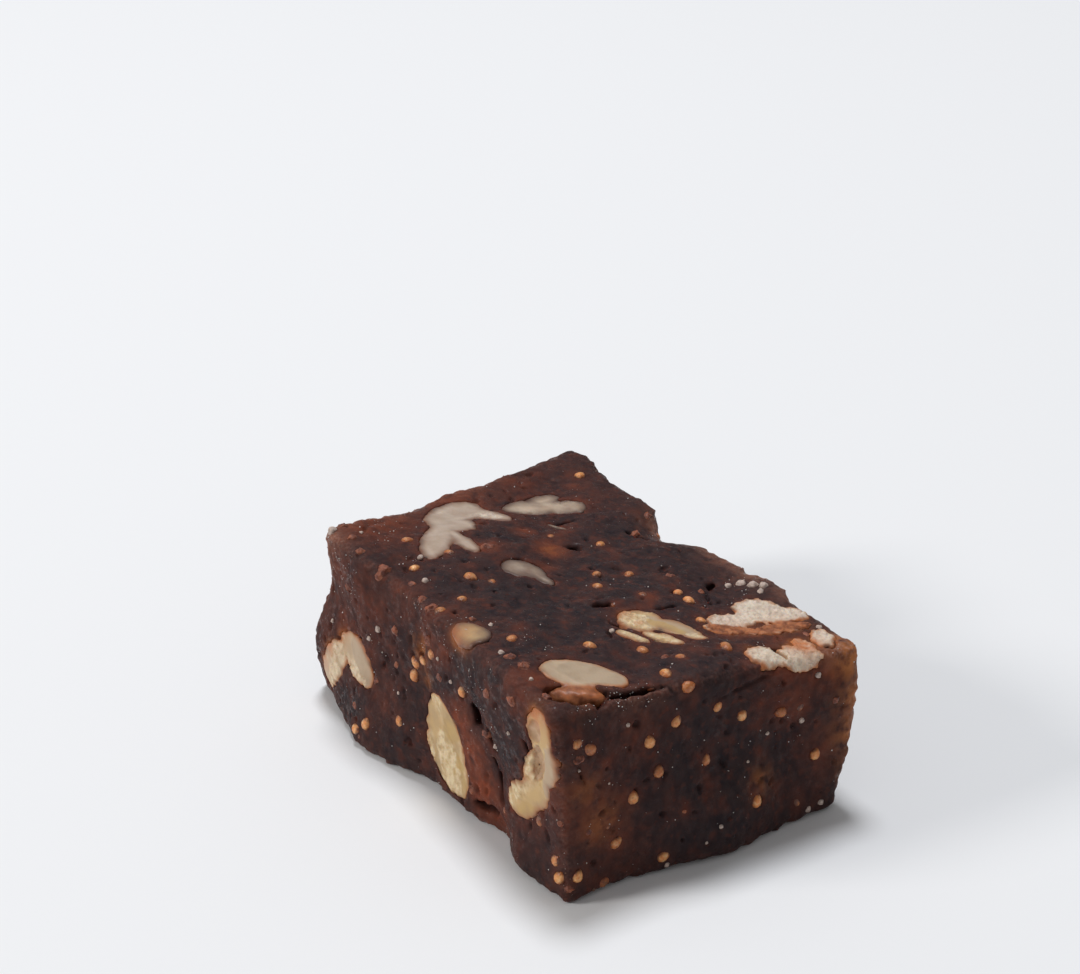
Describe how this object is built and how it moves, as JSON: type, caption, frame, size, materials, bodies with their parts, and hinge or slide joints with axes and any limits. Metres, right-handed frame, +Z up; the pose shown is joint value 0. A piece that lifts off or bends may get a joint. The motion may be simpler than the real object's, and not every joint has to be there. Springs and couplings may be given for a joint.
{
  "type": "walnut turkish delight",
  "caption": "Knife-cut block of dark fig paste with chopped walnut pieces and small fig seeds set in it, a sweet eaten in a few bites.",
  "frame": {"origin": "on the flat base, under the middle of the block", "axes": "+X along the block to its near end, +Y to its back side, +Z up"},
  "size_m": [0.0593, 0.0415, 0.0234],
  "materials": {
    "fig_paste": "satin, slightly translucent dark brown fruit paste",
    "walnut": "matt cut kernel, cream with a brown skin",
    "fig_seed": "satin golden brown fig seed",
    "sugar": "pale grains of fruit sugar"
  },
  "bodies": {
    "root": {"fig_paste": "fig_paste", "walnut_far_corner": "walnut", "walnut_back_rim": "walnut", "walnut_chip": "walnut", "walnut_middle": "walnut", "walnut_back_edge": "walnut", "walnut_near_corner": "walnut", "walnut_corner_crumb": "walnut", "walnut_front": "walnut", "walnut_side_edge": "walnut", "walnut_foot": "walnut", "walnut_spindle": "walnut", "walnut_curl": "walnut", "walnut_back_left": "walnut", "walnut_back_middle": "walnut", "walnut_back_right": "walnut", "walnut_far_upper": "walnut", "walnut_far_lower": "walnut", "walnut_base_far": "walnut", "walnut_base_near": "walnut"}
  },
  "joints": []
}
